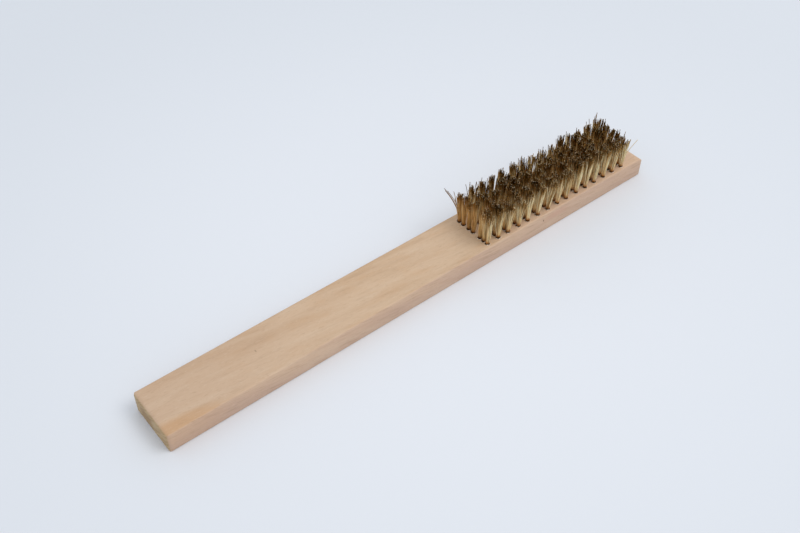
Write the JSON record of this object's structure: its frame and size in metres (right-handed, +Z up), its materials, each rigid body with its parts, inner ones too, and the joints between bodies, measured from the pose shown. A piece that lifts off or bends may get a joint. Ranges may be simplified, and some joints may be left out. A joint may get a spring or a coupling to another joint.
{
  "type": "wire brush",
  "caption": "Flat wire brush: a straight wooden block, handle and head in one, with a field of fanned brass wire tufts anchored in blind holes.",
  "frame": {"origin": "middle of the flat face of the block that the brush rests on, under the middle of its length and width", "axes": "+X along the block from the handle end to the head end, +Y across it from the front edge to the back edge, +Z up along the wires"},
  "size_m": [0.2824, 0.028, 0.0305],
  "materials": {
    "wood": "bare sanded pale hardwood with a fine straight grain",
    "wire": "drawn brass wire, pale along the stems and dark brown at the used tips",
    "anchor": "plain cut strip"
  },
  "bodies": {
    "root": {"wood_block": "wood", "tufts_column_01": "wire", "tufts_column_02": "wire", "tufts_column_03": "wire", "tufts_column_04": "wire", "tufts_column_05": "wire", "tufts_column_06": "wire", "tufts_column_07": "wire", "tufts_column_08": "wire", "tufts_column_09": "wire", "tufts_column_10": "wire", "tufts_column_11": "wire", "tufts_column_12": "wire", "tufts_column_13": "wire", "tufts_column_14": "wire", "tufts_column_15": "wire", "anchors_column_01": "anchor", "anchors_column_02": "anchor", "anchors_column_03": "anchor", "anchors_column_04": "anchor", "anchors_column_05": "anchor", "anchors_column_06": "anchor", "anchors_column_07": "anchor", "anchors_column_08": "anchor", "anchors_column_09": "anchor", "anchors_column_10": "anchor", "anchors_column_11": "anchor", "anchors_column_12": "anchor", "anchors_column_13": "anchor", "anchors_column_14": "anchor", "anchors_column_15": "anchor"}
  },
  "joints": []
}
